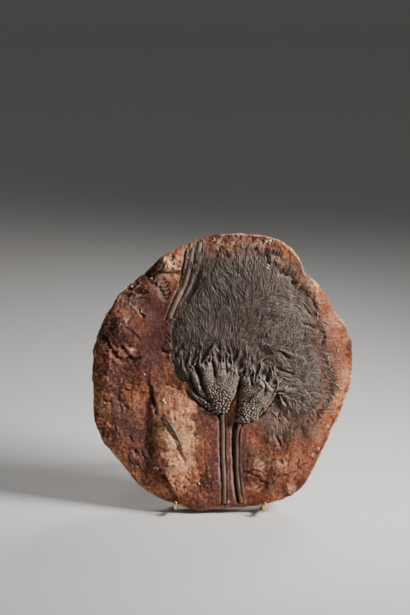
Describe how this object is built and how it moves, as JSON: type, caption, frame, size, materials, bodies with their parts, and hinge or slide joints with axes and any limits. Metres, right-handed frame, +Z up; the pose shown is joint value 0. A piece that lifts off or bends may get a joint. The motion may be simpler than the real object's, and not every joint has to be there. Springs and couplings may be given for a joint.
{
  "type": "crinoid fossil",
  "caption": "Rounded red-brown stone slab with grey sea-lily fossils in relief, their stems and a mat of feathery arms, leaning back on a brass wire stand.",
  "frame": {"origin": "centre of the bounding box on the surface that the stand's feet rest on", "axes": "+Z up, -Y towards the viewer of the slab's face, +X to that viewer's right"},
  "size_m": [0.3082, 0.1637, 0.326],
  "materials": {
    "red_stone": "rough broken red-brown mudstone",
    "grey_fossil": "grey calcite fossil with a slight sheen",
    "brass": "polished brass rod"
  },
  "bodies": {
    "root": {"matrix_slab": "red_stone", "left_cup": "grey_fossil", "right_cup": "grey_fossil", "left_arms": "grey_fossil", "right_arms": "grey_fossil", "left_stem": "grey_fossil", "right_stem": "grey_fossil", "loose_stem_long": "grey_fossil", "loose_stem_short": "grey_fossil", "loose_stem_chip": "grey_fossil", "broken_stem_piece": "grey_fossil", "left_hook": "brass", "right_hook": "brass", "left_front_leg": "brass", "right_front_leg": "brass", "lower_crossbar": "brass", "upper_crossbar": "brass", "left_rear_leg": "brass", "right_rear_leg": "brass", "rear_crossbar": "brass"}
  },
  "joints": []
}
